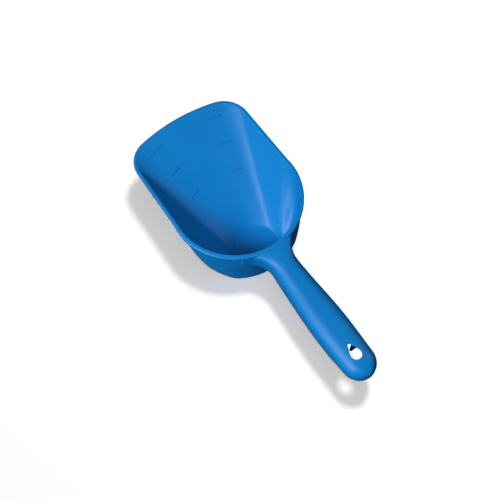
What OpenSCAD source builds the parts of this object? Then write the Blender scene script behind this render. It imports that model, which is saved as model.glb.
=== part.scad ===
// Feed scoop: one plastic moulding, divided here into its functional regions.
// The bowl stands on its flat round foot. +X points to the lip, -X to the grip.
// The origin is the centre of the foot's underside, and the scoop is symmetric about Y = 0.

/* [Bowl] */
// Height of the rim above the surface that the foot stands on
bowl_h = 40; // [36:0.5:44]
// Distance from the foot's centre forward to the middle of the lip
lip_reach = 111; // [102:1:120]
// Distance from the foot's centre back to the outside of the back wall
back_reach = 21; // [21:0.5:24]
// Radius of the round back of the bowl, outside
back_r = 50; // [48:0.5:52]
// Half the width of the mouth at its front corners, outside
lip_half_w = 49; // [47:0.5:50]
// How far the middle of the lip stands ahead of its corners
lip_bow = 9; // [6:0.5:12]
// Radius of the two front corners
corner_r = 21; // [16:1:24]
// Wall thickness
wall = 2.2; // [1.8:0.1:2.6]

/* [Foot] */
// Radius of the round front of the flat foot underneath
foot_r = 20; // [18.5:0.5:20.5]
// Radius of the flat round patch inside the bowl
well_r = 18; // [16:0.5:18]

/* [Rim] */
// How far the rim bead stands out from the wall
bead_w = 1.2; // [0.6:0.1:1.6]
// Height of the rim bead
bead_h = 3; // [2:0.5:4]

/* [Grip] */
// Distance from the foot's centre back to the end of the grip
grip_reach = 134.5; // [132:0.5:140]
// Greatest half-width of the grip
grip_half_w = 13; // [11.5:0.1:13.5]
// Depth of the grip from its top to its open underside
grip_depth = 16.5; // [15:0.5:18]
// How far the top of the grip lies below the rim
grip_drop = 2; // [1:0.5:3]
// Where the neck ends and the grip begins, measured back from the foot's centre
grip_start = 46; // [42:1:50]
// Radius of the arc on which each side of the neck flares out into the bowl
flare_r = 20; // [17:1:22]
// Number of cross ribs under the grip
rib_count = 5; // [3:1:6]
// Thickness of a cross rib
rib_t = 1.6; // [1.2:0.1:2]

/* [Hang hole] */
// Distance from the foot's centre back to the round end of the hole
hole_reach = 117.2; // [114:0.2:119]
// Radius of the round end of the hole
hole_r = 4.3; // [3.5:0.1:4.6]
// Radius of the narrow tip of the hole
hole_tip_r = 1.4; // [1:0.1:2]
// Length of the hole, end to end
hole_len = 13; // [11:0.5:14]

/* [Graduation lines] */
// Width of a raised line
mark_w = 0.8; // [0.6:0.1:1.2]
// How far a line stands up from the wall
mark_h = 0.35; // [0.2:0.05:0.6]

/* [Hidden] */
plastic = "royalblue";

// Rim outline, as arcs and a straight side joined in tangent, by the azimuth of its outward normal
back_c = [back_r - back_reach, 0];
lip_corner = [lip_reach - lip_bow, lip_half_w];
lip_r = (lip_half_w * lip_half_w + lip_bow * lip_bow) / (2 * lip_bow);
lip_c = [lip_reach - lip_r, 0];
to_corner = lip_corner - back_c;
side_az = atan2(to_corner[1], to_corner[0]) + acos(back_r / norm(to_corner));
side_reach = lip_corner * heading(side_az);
corner_az = side_az - acos((side_reach - corner_r - lip_c * heading(side_az)) / (lip_r - corner_r));
corner_c = lip_c + (lip_r - corner_r) * heading(corner_az);

// Stations round half of the bowl: 0 is the middle of the lip, 1 and 2 the ends of the corner
// arc, 3 the end of the straight side, and 4 the middle of the back
half_stations = [
    for (i = [0:5]) i / 6,
    for (i = [0:7]) 1 + i / 8,
    for (i = [0:7]) 2 + i / 8,
    for (i = [0:14]) 3 + i / 14
];
stations = [each half_stations, for (i = [len(half_stations) - 2:-1:1]) -half_stations[i]];
// Azimuth at which each station's wall leaves the foot
foot_azimuths = [[0, 0], [1, 50], [2, 72], [3, 96], [4, 180]];
// The wall bulges most at the back, where the foot also reaches out under it
bulge_back = 15;
bulge_from = 2.6;
bulge_span = 1;
bulge_power = 4;
foot_spread = 0.97;
spread_from = 3.25;
spread_span = 0.4;
// Inside, the bulge is this share of the outside's, so the wall thickens towards the foot
bulge_inside = 0.25;

// The rim bead begins on each front corner and swells to its full width
bead_from = 1.4;
bead_taper = 0.4;
bead_swell = 0.8;
bead_level = 1 - bead_h / bowl_h;
// Rows of how far out and how far down the bead's face lies, as shares of its width and height
bead_profile = [[0.75, 0.8], [1, 0.5], [0.9, 0.2], [0.5, 0]];
level_count = 11;
level_power = 1.7;
levels = [for (j = [0:level_count]) bead_level * pow(j / level_count, level_power), 1];

// Neck and grip: half-widths along their length, and how their top and underside rise and fall
grip_neck_w = 9.6;
widest_at = 0.62;
end_narrow = 0.9;
grip_end_r = 13;
end_fall = 5;
end_least = 0.16;
end_rise = 4.5;
end_rise_from = 100;
neck_rise = 5;
neck_rise_from = 42;
neck_rise_span = 24;
neck_step = 0.3;
neck_root = 12;
wedge_from = 3.1;
flare_from = back_c[0] - sqrt(pow(back_r + bead_w + flare_r, 2) - pow(grip_neck_w + flare_r, 2));
// Their section: a crown half as wide as the grip, and sloping shoulders down to upright sides
crown_share = 0.5;
crown_drop = 0.3;
shoulder_drop = 4.6;
shoulder_at_rim = 1.6;
shoulder_span = 20;
drop_span = 40;
outer_rounds = [3.4, 3.2];
inner_rounds = [2.4, 2.4];
round_steps = 4;

rib_pitch = 15;
rib_under_hole = 3;
mark_heights = [36.5, 28.5, 20];
mark_span = [0.66, 1.1];
mark_steps = 6;
mark_lean = 0.6;
mark_up = 0.8;

function heading(az) = [cos(az), sin(az)];
function blend(a, b, t) = a + (b - a) * t;
function ease(t) = let (u = max(0, min(1, t))) u * u * (3 - 2 * u);
function flip(p, s) = s < 0 ? [p[0], -p[1]] : p;

// Azimuth of the rim's outward normal at a station of the half outline
function rim_az(s) =
    s < 1 ? corner_az * s :
    s < 2 ? blend(corner_az, side_az, s - 1) :
    s < 3 ? side_az : blend(side_az, 180, s - 3);

// Point of the rim's outer outline at a station of the half outline
function rim_half(s) =
    s < 1 ? lip_c + lip_r * heading(rim_az(s)) :
    s < 2 ? corner_c + corner_r * heading(rim_az(s)) :
    s < 3 ? blend(corner_c + corner_r * heading(side_az), back_c + back_r * heading(side_az), s - 2) :
    back_c + back_r * heading(rim_az(s));

function rim_normal(s) = flip(heading(rim_az(abs(s))), s);
function rim_point(s, out = 0) = flip(rim_half(abs(s)), s) + out * rim_normal(s);
function foot_point(s, r) = flip(r * heading(lookup(abs(s), foot_azimuths)), s);
function foot_edge(s) =
    blend(foot_point(s, foot_r), rim_point(s), foot_spread * ease((abs(s) - spread_from) / spread_span));
function bulge(s, share) =
    1 + share * bulge_back * pow(ease((abs(s) - bulge_from) / bulge_span), bulge_power);

// A point of the bowl's wall between its base and the rim; level runs from 0 to 1
function wall_point(s, level, base, out, z0, share) =
    let (p = blend(base, rim_point(s, out), 1 - pow(1 - level, bulge(s, share))))
    [p[0], p[1], blend(z0, bowl_h, level)];
function outer_point(s, level) = wall_point(s, level, foot_edge(s), 0, 0, 1);
function inner_point(s, level) = wall_point(s, level, foot_point(s, well_r), -wall, wall, bulge_inside);

// Faces that join rings of n points each; the rings' ends are joined to each other or capped
function ring_faces(n, rings, closed) = [
    for (j = [0:rings - (closed ? 1 : 2)], i = [0:n - 1])
        let (
            k = (j + 1) % rings,
            a = j * n + i,
            b = j * n + (i + 1) % n,
            c = k * n + (i + 1) % n,
            d = k * n + i
        )
        each [[a, c, b], [a, d, c]]
];
function cap_faces(n, rings) = [
    for (i = [1:n - 2])
        let (last = (rings - 1) * n)
        each [[0, i, i + 1], [last, last + i + 1, last + i]]
];

module loft(rings, closed = false) {
    n = len(rings[0]);
    polyhedron(
        points = [for (ring = rings, p = ring) p],
        faces = closed
            ? ring_faces(n, len(rings), true)
            : concat(ring_faces(n, len(rings), false), cap_faces(n, len(rings)))
    );
}

// A corner at b of the path from a to c, rounded over length r
function rounded(a, b, c, r) =
    let (
        p = b + (a - b) * min(0.45, r / norm(a - b)),
        q = b + (c - b) * min(0.45, r / norm(c - b))
    )
    [for (i = [0:round_steps]) let (t = i / round_steps) blend(blend(p, b, t), blend(b, q, t), t)];

// Half-width, top and open underside of the neck and grip at x
function flare(x) =
    let (past = max(0, min(0.97 * flare_r, x - flare_from)))
    flare_r - sqrt(flare_r * flare_r - past * past);
function grip_w(x) =
    let (along = (-x - back_reach) / (grip_reach - back_reach))
    blend(grip_neck_w, grip_half_w, ease(along / widest_at))
        - end_narrow * ease((along - widest_at) / (1 - widest_at)) + flare(x);
function grip_top(x) = bowl_h - blend(neck_step, grip_drop, ease((-x - back_reach) / drop_span));
function grip_floor(x) =
    bowl_h - grip_drop - grip_depth
        + neck_rise * ease((x + neck_rise_from) / neck_rise_span)
        + end_rise * ease((-x - end_rise_from) / (grip_reach - end_rise_from));

// Half of the section at a place, from the underside to the crown, inset inside the skin.
// A place is [x, turn]: turn runs from 0 to 90 round the end of the grip
function half_section(place, inset) =
    let (
        end = max(end_least, cos(place[1])),
        x = place[0] - (grip_end_r - inset) * sin(place[1]),
        w = (grip_w(place[0]) - inset) * end,
        top = grip_top(place[0]) - inset - end_fall * (1 - end),
        near = ease((-place[0] - back_reach) / shoulder_span)
    )
    [
        [x, w, grip_floor(x)],
        [x, w, top - blend(shoulder_at_rim, shoulder_drop, near)],
        [x, w * crown_share, top - crown_drop * near]
    ];

// Inverted-U section, from one side's underside over the crown to the other's
function grip_ring(place, inset) =
    let (
        h = half_section(place, inset),
        m = [for (p = h) [p[0], -p[1], p[2]]],
        r = inset > 0 ? inner_rounds : outer_rounds
    )
    [
        h[0],
        each rounded(h[0], h[1], h[2], r[0]),
        each rounded(h[1], h[2], m[2], r[1]),
        each rounded(h[2], m[2], m[1], r[1]),
        each rounded(m[2], m[1], m[0], r[0]),
        m[0]
    ];
ring_n = 4 * round_steps + 6;

function steps(a, b, n) = [for (i = [0:n]) blend(a, b, i / n)];
neck_places = [for (x = steps(-neck_root, -grip_start, 12)) [x, 0]];
grip_places = [
    for (x = steps(-grip_start, grip_end_r - grip_reach, 8)) [x, 0],
    for (i = [1:7]) [grip_end_r - grip_reach, 90 * i / 7]
];

// A hollow length of neck or grip, open underneath: each ring runs over the outside and back
// inside the skin. The far end is left open for a neighbour, or closed by the round end.
function strip_faces(n, base, back) = [
    for (i = [0:n - 2])
        let (a = i, b = i + 1, c = 2 * n - 2 - i, d = 2 * n - 1 - i)
        each back
            ? [[base + d, base + c, base + b], [base + d, base + b, base + a]]
            : [[base + a, base + b, base + c], [base + a, base + c, base + d]]
];
function fan(list) = [for (i = [1:len(list) - 2]) [list[0], list[i], list[i + 1]]];
function end_faces(n, base) = concat(
    fan([for (i = [n - 1:-1:0]) base + i]),
    fan([for (i = [2 * n - 1:-1:n]) base + i]),
    fan([base + n - 1, base, base + 2 * n - 1, base + n])
);
module hollow_length(places, round_end) {
    n = ring_n;
    count = len(places);
    base = 2 * n * (count - 1);
    rings = [
        for (place = places)
        let (inner = grip_ring(place, wall))
        [each grip_ring(place, 0), for (i = [n - 1:-1:0]) inner[i]]
    ];
    polyhedron(
        points = [for (ring = rings, p = ring) p],
        faces = concat(
            strip_faces(n, 0, false),
            ring_faces(2 * n, count, false),
            round_end ? end_faces(n, base) : strip_faces(n, base, true)
        )
    );
}

module foot() {
    color(plastic) linear_extrude(height = wall) polygon([for (s = stations) foot_point(s, well_r)]);
}

module bowl() {
    outside = [for (level = levels) [for (s = stations) outer_point(s, level)]];
    inside = [for (j = [len(levels) - 1:-1:0]) [for (s = stations) inner_point(s, levels[j])]];
    ledge = [[for (s = stations) [each foot_point(s, well_r), 0]]];
    color(plastic) loft(concat(outside, inside, ledge), closed = true);
}

// Bead outside the wall, all round but for the lip, where it dies away
module rim_bead() {
    places = [for (s = stations) if (abs(s) >= bead_from) s];
    color(plastic) loft([for (i = [len(places) - 1:-1:0]) bead_ring(places[i])]);
}
function bead_ring(s) =
    let (
        out = rim_normal(s),
        full = bead_w * blend(bead_taper, 1, ease((abs(s) - bead_from) / bead_swell)),
        foot_of_bead = outer_point(s, bead_level),
        p = [foot_of_bead[0], foot_of_bead[1]],
        top = rim_point(s)
    )
    [
        for (row = bead_profile)
            [each ((row[1] > 0.5 ? p : top) + row[0] * full * out), bowl_h - row[1] * bead_h],
        [each top, bowl_h],
        foot_of_bead
    ];

// The back of the bowl with its bead, as a solid wedge that the neck is cut to fit
module back_wedge() {
    places = [for (s = stations) if (abs(s) >= wedge_from) s];
    rows = [
        for (level = levels) if (level <= bead_level) [for (s = places) outer_point(s, level)],
        for (k = [0:len(bead_profile) - 1]) [for (s = places) bead_ring(s)[k]]
    ];
    loft([for (row = rows) [[0, 0, row[0][2]], each row]]);
}

module neck() {
    color(plastic) difference() {
        hollow_length(neck_places, false);
        back_wedge();
    }
}

module hang_hole() {
    tip = hole_len - hole_r - hole_tip_r;
    translate([-hole_reach, 0, bowl_h / 4]) linear_extrude(height = 2 * grip_depth) hull() {
        circle(r = hole_r, $fn = 48);
        translate([tip, 0]) circle(r = hole_tip_r, $fn = 24);
    }
}

module grip() {
    color(plastic) difference() {
        hollow_length(grip_places, true);
        hang_hole();
    }
}

// Cross ribs fill the hollow grip from side to side, down to its open underside
module cross_ribs() {
    last = -hole_reach + hole_len - hole_r - rib_under_hole + rib_t / 2;
    first = -grip_start - rib_pitch / 2;
    color(plastic) intersection() {
        loft([for (place = grip_places) grip_ring(place, wall)]);
        for (i = [0:rib_count - 1])
            translate([blend(first, last, i / (rib_count - 1)), 0, bowl_h / 2])
                cube([rib_t, 4 * grip_half_w, 2 * bowl_h], center = true);
    }
}

// A raised line along one level of the bowl's inside, on both sides
function mark_ring(s, level) =
    let (
        half = mark_w / 2 / bowl_h,
        low = inner_point(s, level - half),
        high = inner_point(s, level + half),
        n = rim_normal(s),
        up = mark_h * [-mark_lean * n[0], -mark_lean * n[1], mark_up]
    )
    [low, high, high + up, low + up];
module graduation_lines() {
    color(plastic) for (z = mark_heights, side = [-1, 1])
        loft([
            for (i = [0:mark_steps])
            let (t = side > 0 ? i / mark_steps : 1 - i / mark_steps)
            mark_ring(side * blend(mark_span[0], mark_span[1], t), (z - wall) / (bowl_h - wall))
        ]);
}

foot();
bowl();
rim_bead();
neck();
grip();
cross_ribs();
graduation_lines();
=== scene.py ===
"""Looks of the feed scoop: one blue plastic moulding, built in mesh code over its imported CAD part.

Lengths in the shape functions are millimetres in the part's own frame; meshes are written in metres.
"""
import math

import bmesh
import bpy
import numpy as np
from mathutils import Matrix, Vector


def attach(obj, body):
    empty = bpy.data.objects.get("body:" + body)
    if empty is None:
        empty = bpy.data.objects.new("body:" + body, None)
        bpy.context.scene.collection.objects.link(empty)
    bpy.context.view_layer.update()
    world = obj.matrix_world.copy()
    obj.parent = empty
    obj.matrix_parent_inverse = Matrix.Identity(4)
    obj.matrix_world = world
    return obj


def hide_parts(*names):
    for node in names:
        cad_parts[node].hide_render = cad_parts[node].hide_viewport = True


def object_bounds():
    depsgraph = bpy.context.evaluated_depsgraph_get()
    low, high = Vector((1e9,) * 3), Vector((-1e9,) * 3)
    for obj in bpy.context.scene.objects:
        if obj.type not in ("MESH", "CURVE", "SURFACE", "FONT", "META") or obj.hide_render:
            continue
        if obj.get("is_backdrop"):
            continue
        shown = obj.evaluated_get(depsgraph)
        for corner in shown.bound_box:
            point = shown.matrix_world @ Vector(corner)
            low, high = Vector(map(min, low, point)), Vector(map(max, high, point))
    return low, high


MM = 0.001

# Sizes of the bowl
BOWL_H = 40.0
LIP_REACH = 111.0
BACK_REACH = 21.0
BACK_R = 50.0
LIP_HALF_W = 49.0
LIP_BOW = 9.0
CORNER_R = 21.0
WALL = 2.2
FOOT_R = 20.0
WELL_R = 18.0
BEAD_W = 1.2
BEAD_H = 3.0
# Azimuth at which each station's wall leaves the foot
FOOT_AZIMUTHS = [(0, 0), (1, 50), (2, 72), (3, 96), (4, 180)]

# The wall bulges most at the back, where the foot reaches out under it; inside it bulges less
BULGE_BACK = 15.0
BULGE_FROM = 2.6
BULGE_SPAN = 1.0
BULGE_POWER = 4
FOOT_SPREAD = 0.97
SPREAD_FROM = 3.25
SPREAD_SPAN = 0.4
BULGE_INSIDE = 0.25

# Sizes of the neck and grip
GRIP_REACH = 134.5
GRIP_HALF_W = 13.0
GRIP_NECK_W = 9.6
GRIP_DEPTH = 16.5
GRIP_DROP = 2.0
GRIP_START = 46.0
GRIP_END_R = 13.0
END_FALL = 5.0
END_RISE = 4.5
END_RISE_FROM = 100.0
END_RISE_SPAN = 36.0
NECK_ROOT = 12.0
FLARE_R = 20.0
NECK_RISE = 5.0
NECK_RISE_FROM = 42.0
NECK_RISE_SPAN = 24.0
WIDEST_AT = 0.62
END_NARROW = 0.9
CROWN_SHARE = 0.5
SHOULDER_SPAN = 20.0
DROP_SPAN = 40.0
RIM_CROWN_DROP = 0.02
RIM_STEP = 0.03
OUTER_ROUNDS = [0.6, 3.4, 3.2]
INNER_ROUNDS = [0.5, 2.4, 2.4]
CROWN_DROP = 0.3
SHOULDER_DROP = 4.6
RIM_SHOULDER_DROP = 1.6
RIB_COUNT = 5
RIB_T = 1.6
RIB_PITCH = 15.0
RIB_UNDER_HOLE = 3.0
HOLE_REACH = 117.2
HOLE_R = 4.3
HOLE_TIP_R = 1.4
HOLE_LEN = 13.0
HOLE_EDGE = 0.7

# Graduation lines
MARK_HEIGHTS = (36.5, 28.5, 20.0)
MARK_SPAN = (0.66, 1.1)
MARK_W = 0.5
MARK_H = 0.35
MARK_LEAN = 0.6
MARK_UP = 0.8
MARK_SUNK = 0.3


# ---------------------------------------------------------------- curves shared by bowl and grip
def lookup(x, table):
    return np.interp(x, [row[0] for row in table], [row[1] for row in table])


def blend(a, b, t):
    return a + (b - a) * t


def ease(t):
    u = np.clip(t, 0.0, 1.0)
    return u * u * (3 - 2 * u)


def heading(az):
    az = np.radians(az)
    return np.stack([np.cos(az), np.sin(az)], -1)


BACK_C = np.array([BACK_R - BACK_REACH, 0.0])
LIP_R = (LIP_HALF_W**2 + LIP_BOW**2) / (2 * LIP_BOW)
LIP_C = np.array([LIP_REACH - LIP_R, 0.0])
TO_CORNER = np.array([LIP_REACH - LIP_BOW, LIP_HALF_W]) - BACK_C
SIDE_AZ = math.degrees(
    math.atan2(TO_CORNER[1], TO_CORNER[0]) + math.acos(BACK_R / np.linalg.norm(TO_CORNER))
)
SIDE_REACH = (TO_CORNER + BACK_C) @ heading(SIDE_AZ)
CORNER_AZ = SIDE_AZ - math.degrees(
    math.acos((SIDE_REACH - CORNER_R - LIP_C @ heading(SIDE_AZ)) / (LIP_R - CORNER_R))
)
CORNER_C = LIP_C + (LIP_R - CORNER_R) * heading(CORNER_AZ)


def rim_az(s):
    return np.interp(s, [0, 1, 2, 3, 4], [0, CORNER_AZ, SIDE_AZ, SIDE_AZ, 180])


def rim_half(s):
    """Points of the outer rim outline at stations 0 (mid lip) to 4 (mid back), on the +Y side."""
    h = heading(rim_az(s))
    side_start = CORNER_C + CORNER_R * heading(SIDE_AZ)
    side_end = BACK_C + BACK_R * heading(SIDE_AZ)
    side = blend(side_start, side_end, np.clip(s - 2, 0, 1)[:, None])
    s = s[:, None]
    rear = np.where(s < 3, side, BACK_C + BACK_R * h)
    return np.where(s < 1, LIP_C + LIP_R * h, np.where(s < 2, CORNER_C + CORNER_R * h, rear))


def mirrored(points, s):
    return points * np.stack([np.ones_like(s), np.where(s < 0, -1.0, 1.0)], -1)


def rim_point(s, out=0.0):
    a = np.abs(s)
    normal = mirrored(heading(rim_az(a)), s)
    return mirrored(rim_half(a), s) + np.broadcast_to(out, s.shape)[:, None] * normal


def foot_point(s, r):
    return mirrored(r * heading(lookup(np.abs(s), FOOT_AZIMUTHS)), s)


def foot_edge(s):
    spread = FOOT_SPREAD * ease((np.abs(s) - SPREAD_FROM) / SPREAD_SPAN)
    return blend(foot_point(s, FOOT_R), rim_point(s), spread[:, None])


def at_height(xy, z):
    return np.column_stack([xy, np.broadcast_to(z, (len(xy),))])


def wall_point(s, level, base, out, z0, share):
    bulge = 1 + share * BULGE_BACK * ease((np.abs(s) - BULGE_FROM) / BULGE_SPAN) ** BULGE_POWER
    reach = 1 - (1 - level) ** bulge
    xy = blend(base, rim_point(s, out), np.broadcast_to(reach, s.shape)[:, None])
    return at_height(xy, blend(z0, BOWL_H, level))


def outer_point(s, level, out=0.0):
    p = wall_point(s, level, foot_edge(s), 0.0, 0.0, 1.0)
    p[:, :2] += np.broadcast_to(out, s.shape)[:, None] * (rim_point(s, 1.0) - rim_point(s))
    return p


def inner_point(s, level):
    return wall_point(s, level, foot_point(s, WELL_R), -WALL, WALL, BULGE_INSIDE)


def bezier(a, b, c, n):
    """Rows of a rounded corner b between a and c, both ends left out."""
    rows = []
    for t in np.linspace(0, 1, n + 2)[1:-1]:
        rows.append((1 - t) ** 2 * a + 2 * t * (1 - t) * b + t * t * c)
    return rows


# ---------------------------------------------------------------- meshes
def new_object(name, verts, faces):
    mesh = bpy.data.meshes.new(name)
    mesh.from_pydata([tuple(v) for v in np.asarray(verts) * MM], [], faces)
    mesh.validate()
    obj = bpy.data.objects.new(name, mesh)
    bpy.context.collection.objects.link(obj)
    return obj


def ring_quads(n, rings, start=0):
    faces = []
    for j in range(rings - 1):
        a = start + j * n
        b = a + n
        faces += [(a + i, a + (i + 1) % n, b + (i + 1) % n, b + i) for i in range(n)]
    return faces


def skin(name, rows, poles=None, caps=False):
    """A closed skin over rings of equal length, closed at its ends by two poles or by flat caps."""
    n = len(rows[0])
    verts = np.vstack(rows)
    faces = ring_quads(n, len(rows))
    last = n * (len(rows) - 1)
    if poles is not None:
        verts = np.vstack([verts, poles])
        first_pole = n * len(rows)
        faces += [(first_pole, (i + 1) % n, i) for i in range(n)]
        faces += [(first_pole + 1, last + i, last + (i + 1) % n) for i in range(n)]
    if caps:
        faces.append(tuple(range(n - 1, -1, -1)))
        faces.append(tuple(last + i for i in range(n)))
    return outward(new_object(name, verts, faces))


def outward(obj):
    bm = bmesh.new()
    bm.from_mesh(obj.data)
    bmesh.ops.remove_doubles(bm, verts=bm.verts, dist=1e-7)
    bmesh.ops.recalc_face_normals(bm, faces=bm.faces)
    if bm.calc_volume(signed=True) < 0:
        bmesh.ops.reverse_faces(bm, faces=bm.faces)
    bm.to_mesh(obj.data)
    bm.free()
    return obj


def combine(obj, other, operation):
    """Joins other to obj or cuts it away, and removes other."""
    modifier = obj.modifiers.new(operation, "BOOLEAN")
    modifier.operation = operation
    modifier.solver = "MANIFOLD"
    modifier.object = other
    deps = bpy.context.evaluated_depsgraph_get()
    mesh = bpy.data.meshes.new_from_object(obj.evaluated_get(deps))
    obj.modifiers.clear()
    obj.data = mesh
    bpy.data.objects.remove(other)
    return obj


# ---------------------------------------------------------------- bowl
def bowl_stations(lip, corner, side, back):
    half = np.concatenate(
        [
            np.arange(lip) / lip,
            1 + np.arange(corner) / corner,
            2 + np.arange(side) / side,
            3 + np.arange(back + 1) / back,
        ]
    )
    return np.concatenate([half, -half[-2:0:-1]])


def bead_width(s):
    """Width of the rim bead, which begins on each front corner."""
    return BEAD_W * ease((np.abs(s) - 1.2) / 0.9)


def bowl_shell():
    """The bowl as one skin, from under its foot up the outside, over the rim and down to the well."""
    s = bowl_stations(18, 30, 30, 72)
    width = bead_width(s)
    fullness = width / BEAD_W
    bead_level = 1 - BEAD_H / BOWL_H
    # Levels up to which the outer foot edge and the inner well edge are rounded
    foot_round = 0.02
    well_round = 0.012
    top_level = 1 - blend(0.35, 1.3, fullness) / BOWL_H
    shoulder = width - blend(0.5, 1.7, fullness)
    inner_edge = 0.4

    rows = [at_height(foot_edge(s) * t, 0.0) for t in (0.35, 0.7, 0.96)]
    rows += bezier(rows[-1], at_height(foot_edge(s), 0.0), outer_point(s, foot_round), 5)
    rows += [outer_point(s, blend(foot_round, bead_level, (k / 56) ** 1.3)) for k in range(57)]
    for t in (0.08, 0.16, 0.24, 0.32, 0.6, 1):
        rows.append(outer_point(s, blend(bead_level, top_level, t), width * ease(t / 0.32)))
    crest = at_height(rim_point(s, shoulder), BOWL_H)
    rows += bezier(rows[-1], at_height(rim_point(s, width), BOWL_H), crest, 8)
    rows += [crest, at_height(rim_point(s, inner_edge - WALL), BOWL_H)]
    inner_top = inner_point(s, 1 - inner_edge / BOWL_H)
    rows += bezier(rows[-1], at_height(rim_point(s, -WALL), BOWL_H), inner_top, 4)
    for k in range(61):
        rows.append(inner_point(s, blend(1 - inner_edge / BOWL_H, well_round, 1 - (1 - k / 60) ** 1.3)))
    well_edge = at_height(foot_point(s, WELL_R), WALL)
    rows += bezier(rows[-1], well_edge, at_height(foot_point(s, WELL_R * 0.97), WALL), 4)
    rows += [at_height(foot_point(s, WELL_R * t), WALL) for t in (0.97, 0.7, 0.35)]
    return skin("moulding", rows, poles=[[0, 0, 0], [0, 0, WALL]])


def bowl_core():
    """The space inside the middle of the bowl's wall, which the neck must not enter."""
    s = bowl_stations(10, 20, 20, 72)
    rows = []
    for k in range(41):
        level = k / 40
        rows.append((outer_point(s, level) + inner_point(s, level)) / 2)
    rows.append(rows[-1] + np.array([0, 0, 5.0]))
    return skin("core", rows, caps=True)


# ---------------------------------------------------------------- neck and grip
def flare(x):
    """Extra half-width of the neck, on an arc that runs into the round back of the bowl."""
    flat_from = BACK_C[0] - math.sqrt((BACK_R + BEAD_W + FLARE_R) ** 2 - (GRIP_NECK_W + FLARE_R) ** 2)
    past = np.clip(x - flat_from, 0, FLARE_R * 0.97)
    return FLARE_R - np.sqrt(FLARE_R**2 - past**2)


def grip_half_width(x):
    along = (-x - BACK_REACH) / (GRIP_REACH - BACK_REACH)
    width = blend(GRIP_NECK_W, GRIP_HALF_W, ease(along / WIDEST_AT))
    return width - END_NARROW * ease((along - WIDEST_AT) / (1 - WIDEST_AT)) + flare(x)


def grip_underside(x):
    near_bowl = NECK_RISE * ease((x + NECK_RISE_FROM) / NECK_RISE_SPAN)
    near_end = END_RISE * ease((-x - END_RISE_FROM) / END_RISE_SPAN)
    return BOWL_H - GRIP_DROP - GRIP_DEPTH + near_bowl + near_end


def half_section(x, turn, inset):
    """Control points of half of the inverted-U skin, from the open underside up to the crown."""
    end = math.cos(turn)
    w = max(0.0, (grip_half_width(x) - inset) * end)
    px = x - (GRIP_END_R - inset) * math.sin(turn)
    past_rim = -x - BACK_REACH
    step = blend(RIM_STEP, GRIP_DROP, float(ease(past_rim / DROP_SPAN)))
    top = BOWL_H - inset - step - END_FALL * (1 - end)
    along = float(ease(past_rim / SHOULDER_SPAN))
    drop = blend(RIM_SHOULDER_DROP, SHOULDER_DROP, along)
    crown = blend(RIM_CROWN_DROP, CROWN_DROP, along)
    return [
        np.array([px, w, float(grip_underside(px))]),
        np.array([px, w, top - drop]),
        np.array([px, w * CROWN_SHARE, top - crown]),
    ]


def rounded_loop(points, radii, n):
    """A closed loop with each corner rounded by n + 2 points."""
    out = []
    count = len(points)
    for i, p in enumerate(points):
        before = points[i - 1]
        after = points[(i + 1) % count]
        to_before = before - p
        to_after = after - p
        a = p + to_before * min(0.45, radii[i] / max(1e-9, np.linalg.norm(to_before)))
        c = p + to_after * min(0.45, radii[i] / max(1e-9, np.linalg.norm(to_after)))
        out += [a, *bezier(a, p, c, n), c]
    return np.array(out)


def grip_ring(x, turn=0.0):
    outer = half_section(x, turn, 0.0)
    inner = half_section(x, turn, WALL)
    flip = np.array([1, -1, 1])
    points = outer + [p * flip for p in outer[::-1]] + [p * flip for p in inner] + inner[::-1]
    radii = OUTER_ROUNDS + OUTER_ROUNDS[::-1] + INNER_ROUNDS + INNER_ROUNDS[::-1]
    return rounded_loop(points, radii, 6)


def grip_shell():
    end_from = GRIP_END_R - GRIP_REACH
    xs = np.concatenate([np.linspace(-NECK_ROOT, -44, 50), np.linspace(-45, end_from, 60)])
    rings = [grip_ring(x) for x in xs]
    rings += [grip_ring(end_from, math.radians(a)) for a in np.linspace(0, 90, 25)[1:]]
    n = len(rings[0])
    faces = ring_quads(n, len(rings))
    faces.append(tuple(range(n - 1, -1, -1)))
    return outward(new_object("grip_raw", np.vstack(rings), faces))


def cross_rib(x):
    """A slab across the hollow grip, sunk a little into its skin."""
    sunk = 0.7
    loops = []
    for px in (x - RIB_T / 2, x + RIB_T / 2):
        half = half_section(px, 0.0, WALL - sunk)
        half[0][2] += 0.15
        points = half + [p * np.array([1, -1, 1]) for p in half[::-1]]
        loops.append(rounded_loop(points, [0.05, 2.4, 2.4, 2.4, 2.4, 0.05], 5))
    return skin("rib", loops, caps=True)


def hole_loop(z, out):
    """Teardrop outline of the hang hole, grown by out."""
    tip_x = -HOLE_REACH + HOLE_LEN - HOLE_R - HOLE_TIP_R
    gap = tip_x + HOLE_REACH
    lean = math.degrees(math.acos((HOLE_R - HOLE_TIP_R) / gap))
    big = np.array([-HOLE_REACH, 0]) + (HOLE_R + out) * heading(np.linspace(lean, 360 - lean, 60))
    small = np.array([tip_x, 0]) + (HOLE_TIP_R + out) * heading(np.linspace(-lean, lean, 24))
    return at_height(np.vstack([big, small]), z)


def hang_hole():
    """A cutter for the hole, which widens into a rounded edge at the grip's top."""
    top = BOWL_H - GRIP_DROP
    rows = [hole_loop(10.0, 0.0)]
    for turn in np.linspace(0, 90, 9):
        a = math.radians(turn)
        height = top - HOLE_EDGE + HOLE_EDGE * math.sin(a) - 0.02
        rows.append(hole_loop(height, HOLE_EDGE * (1 - math.cos(a))))
    rows.append(hole_loop(BOWL_H + 5.0, HOLE_EDGE))
    return skin("hole", rows, caps=True)


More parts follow.
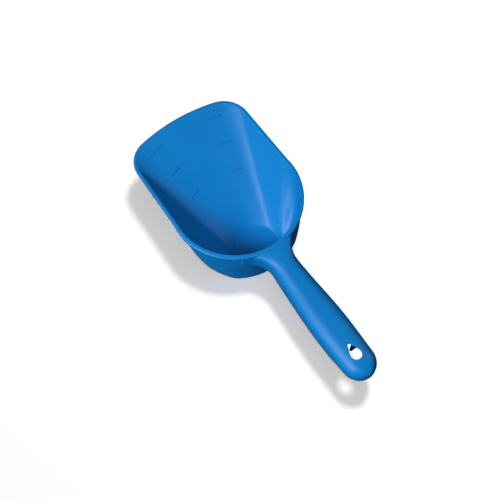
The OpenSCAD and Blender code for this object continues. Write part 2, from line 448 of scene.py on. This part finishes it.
def build_moulding():
    moulding = bowl_shell()
    grip = combine(grip_shell(), bowl_core(), "DIFFERENCE")
    last = -HOLE_REACH + HOLE_LEN - HOLE_R + RIB_T / 2 - RIB_UNDER_HOLE
    first = -GRIP_START - RIB_PITCH / 2
    for i in range(RIB_COUNT):
        grip = combine(grip, cross_rib(blend(first, last, i / (RIB_COUNT - 1))), "UNION")
    grip = combine(grip, hang_hole(), "DIFFERENCE")
    moulding = combine(moulding, grip, "UNION")
    moulding.data.name = "moulding"
    moulding.data.shade_smooth()
    moulding.data.set_sharp_from_angle(angle=math.radians(38))
    return moulding


# ---------------------------------------------------------------- graduation lines
def graduation_line(side, z):
    """A raised line along one level of the bowl's inside, with a rounded back and tapered ends."""
    rings = []
    steps = 24
    half = MARK_W / 2 / BOWL_H
    level = (z - WALL) / (BOWL_H - WALL)
    for i in range(steps + 1):
        s = np.array([side * blend(MARK_SPAN[0], MARK_SPAN[1], i / steps)])
        normal = (rim_point(s, 1.0) - rim_point(s))[0]
        up = np.array([-MARK_LEAN * normal[0], -MARK_LEAN * normal[1], MARK_UP])
        rise = MARK_H * math.sqrt(max(0.02, math.sin(math.pi * blend(0.03, 0.97, i / steps))))
        low = inner_point(s, level - half)[0]
        high = inner_point(s, level + half)[0]
        ring = [low - MARK_SUNK * up, high - MARK_SUNK * up]
        for t in (0.0, 0.25, 0.5, 0.75, 1.0):
            ring.append(blend(high, low, t) + up * rise * math.sqrt(max(0.0, 1 - (2 * t - 1) ** 2)))
        rings.append(np.array(ring))
    return skin("line", rings, caps=True)


def build_lines():
    parts = [graduation_line(side, z) for z in MARK_HEIGHTS for side in (-1, 1)]
    bm = bmesh.new()
    for part in parts:
        bm.from_mesh(part.data)
        bpy.data.objects.remove(part)
    mesh = bpy.data.meshes.new("graduation_marks")
    bm.to_mesh(mesh)
    bm.free()
    mesh.shade_smooth()
    obj = bpy.data.objects.new("graduation_marks", mesh)
    bpy.context.collection.objects.link(obj)
    return obj


# ---------------------------------------------------------------- materials
def node(tree, kind, **sockets):
    made = tree.nodes.new(kind)
    for key, value in sockets.items():
        made.inputs[key.replace("_", " ")].default_value = value
    return made


def plastic():
    """Semi-gloss blue plastic: slight tint and sheen variation, and a fine moulded grain."""
    material = bpy.data.materials.new("moulding")
    material.use_nodes = True
    tree = material.node_tree
    tree.nodes.clear()
    link = tree.links.new
    place = tree.nodes.new("ShaderNodeTexCoord").outputs["Object"]

    shader = node(tree, "ShaderNodeBsdfPrincipled", IOR=1.49)
    shader.inputs["Specular IOR Level"].default_value = 0.24

    clouds = node(tree, "ShaderNodeTexNoise", Scale=22.0, Detail=3.0, Roughness=0.55)
    link(place, clouds.inputs["Vector"])
    tint = tree.nodes.new("ShaderNodeValToRGB")
    tint.color_ramp.elements[0].position = 0.35
    tint.color_ramp.elements[0].color = (0.0010, 0.178, 0.520, 1)
    tint.color_ramp.elements[1].position = 0.65
    tint.color_ramp.elements[1].color = (0.0015, 0.198, 0.555, 1)
    link(clouds.outputs["Fac"], tint.inputs["Fac"])
    link(tint.outputs["Color"], shader.inputs["Base Color"])

    sheen = node(tree, "ShaderNodeTexNoise", Scale=60.0, Detail=4.0, Roughness=0.6)
    link(place, sheen.inputs["Vector"])
    rough = node(tree, "ShaderNodeMapRange", To_Min=0.40, To_Max=0.50)
    link(sheen.outputs["Fac"], rough.inputs["Value"])
    link(rough.outputs["Result"], shader.inputs["Roughness"])

    grain = node(tree, "ShaderNodeTexNoise", Scale=1600.0, Detail=2.0, Roughness=0.5)
    link(place, grain.inputs["Vector"])
    fine = node(tree, "ShaderNodeBump", Strength=0.08, Distance=0.0001)
    link(grain.outputs["Fac"], fine.inputs["Height"])
    soft = node(tree, "ShaderNodeBevel", Radius=0.0007)
    soft.samples = 6
    link(fine.outputs["Normal"], shader.inputs["Normal"])
    link(soft.outputs["Normal"], fine.inputs["Normal"])

    out = tree.nodes.new("ShaderNodeOutputMaterial")
    link(shader.outputs["BSDF"], out.inputs["Surface"])
    return material


def plain(name, color, roughness):
    material = bpy.data.materials.new(name)
    material.use_nodes = True
    shader = material.node_tree.nodes["Principled BSDF"]
    shader.inputs["Base Color"].default_value = (*color, 1)
    shader.inputs["Roughness"].default_value = roughness
    shader.inputs["Specular IOR Level"].default_value = 0.0
    return material


# ---------------------------------------------------------------- stage, lights and camera
def direction(azimuth, elevation):
    a, e = math.radians(azimuth), math.radians(elevation)
    return Vector((math.cos(a) * math.cos(e), math.sin(a) * math.cos(e), math.sin(e)))


CAMERA_TARGET = Vector((-13.3, 15.95, 40.0)) * MM
CAMERA_AZ = 145.2
CAMERA_EL = 65.7
CAMERA_DISTANCE = 0.588
CAMERA_LENS = 59.0
SENSOR_WIDTH = 36.0
FLOOR_HALF_W = 1500.0


def aim(obj, target):
    obj.rotation_euler = (target - obj.location).to_track_quat("-Z", "Y").to_euler()


def area_light(name, azimuth, elevation, distance, size, power):
    data = bpy.data.lights.new(name, "AREA")
    data.shape = "DISK"
    data.size = size
    data.energy = power
    obj = bpy.data.objects.new(name, data)
    obj.location = CAMERA_TARGET + direction(azimuth, elevation) * distance
    aim(obj, CAMERA_TARGET)
    bpy.context.collection.objects.link(obj)
    return obj


def only_on(light, objects, name):
    """Keeps a light's effect to these objects."""
    group = bpy.data.collections.new(name)
    for obj in objects:
        group.objects.link(obj)
    light.light_linking.receiver_collection = group


def build_stage(pieces):
    corners = np.array([[-1, -1, 0], [1, -1, 0], [1, 1, 0], [-1, 1, 0]]) * FLOOR_HALF_W
    floor = new_object("floor", corners, [(0, 1, 2, 3)])
    floor.data.materials.append(plain("floor", (0.92, 0.92, 0.92), 0.9))
    floor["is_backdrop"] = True

    floor.visible_diffuse = False
    floor.visible_glossy = False

    world = bpy.data.worlds.new("studio")
    world.use_nodes = True
    world.node_tree.nodes["Background"].inputs["Color"].default_value = (1, 1, 1, 1)
    world.node_tree.nodes["Background"].inputs["Strength"].default_value = 0.03
    bpy.context.scene.world = world

    # The moulding's own lights: the key leaves the left inside wall in shade
    key = area_light("key", 100, 44, 0.9, 0.3, 9.2)
    back = area_light("back", 38, 60, 0.9, 0.25, 1.4)
    back.data.diffuse_factor = 0.3
    key.data.specular_factor = 0.35
    side = area_light("side", 258, 32, 0.9, 0.25, 1.2)
    side.data.diffuse_factor = 0.0
    for light in (key, back, side):
        only_on(light, pieces, "lit_by_" + light.name)
    # The floor's own lights: shade casts the shadow, and wash keeps the shadow pale
    shade = area_light("shade", CAMERA_AZ + 152, 70, 1.1, 0.2, 7.2)
    wash = area_light("wash", CAMERA_AZ, 88, 2.0, 2.0, 32)
    for light in (shade, wash):
        only_on(light, [floor], "lit_by_" + light.name)
    wash.data.use_shadow = False

    camera = bpy.data.objects.new("camera", bpy.data.cameras.new("camera"))
    camera.data.lens = CAMERA_LENS
    camera.data.sensor_width = SENSOR_WIDTH
    camera.location = CAMERA_TARGET + direction(CAMERA_AZ, CAMERA_EL) * CAMERA_DISTANCE
    aim(camera, CAMERA_TARGET)
    bpy.context.collection.objects.link(camera)
    bpy.context.scene.camera = camera
    bpy.context.scene.view_settings.view_transform = "Standard"


def plain_lists(value):
    """The same numbers as lists and dictionaries that can be written as text."""
    if isinstance(value, dict):
        return {str(key): plain_lists(item) for key, item in value.items()}
    if isinstance(value, (int, float, str, bool)) or value is None:
        return value
    return [plain_lists(item) for item in value]


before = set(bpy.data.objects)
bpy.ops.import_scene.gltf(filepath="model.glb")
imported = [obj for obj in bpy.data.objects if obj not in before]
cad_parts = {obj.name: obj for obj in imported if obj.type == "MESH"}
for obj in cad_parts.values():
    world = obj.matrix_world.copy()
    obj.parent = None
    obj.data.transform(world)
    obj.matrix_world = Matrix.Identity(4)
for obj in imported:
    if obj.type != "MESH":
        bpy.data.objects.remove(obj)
cad_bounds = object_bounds()

blue = plastic()
moulding = build_moulding()
lines = build_lines()
for piece in (moulding, lines):
    piece.data.materials.clear()
    piece.data.materials.append(blue)
    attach(piece, "root")
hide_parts("foot", "bowl", "rim_bead", "neck", "grip", "cross_ribs")
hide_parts("graduation_lines")
build_stage([moulding, lines])

bounds = {"cad": plain_lists(cad_bounds), "visual": plain_lists(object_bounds())}
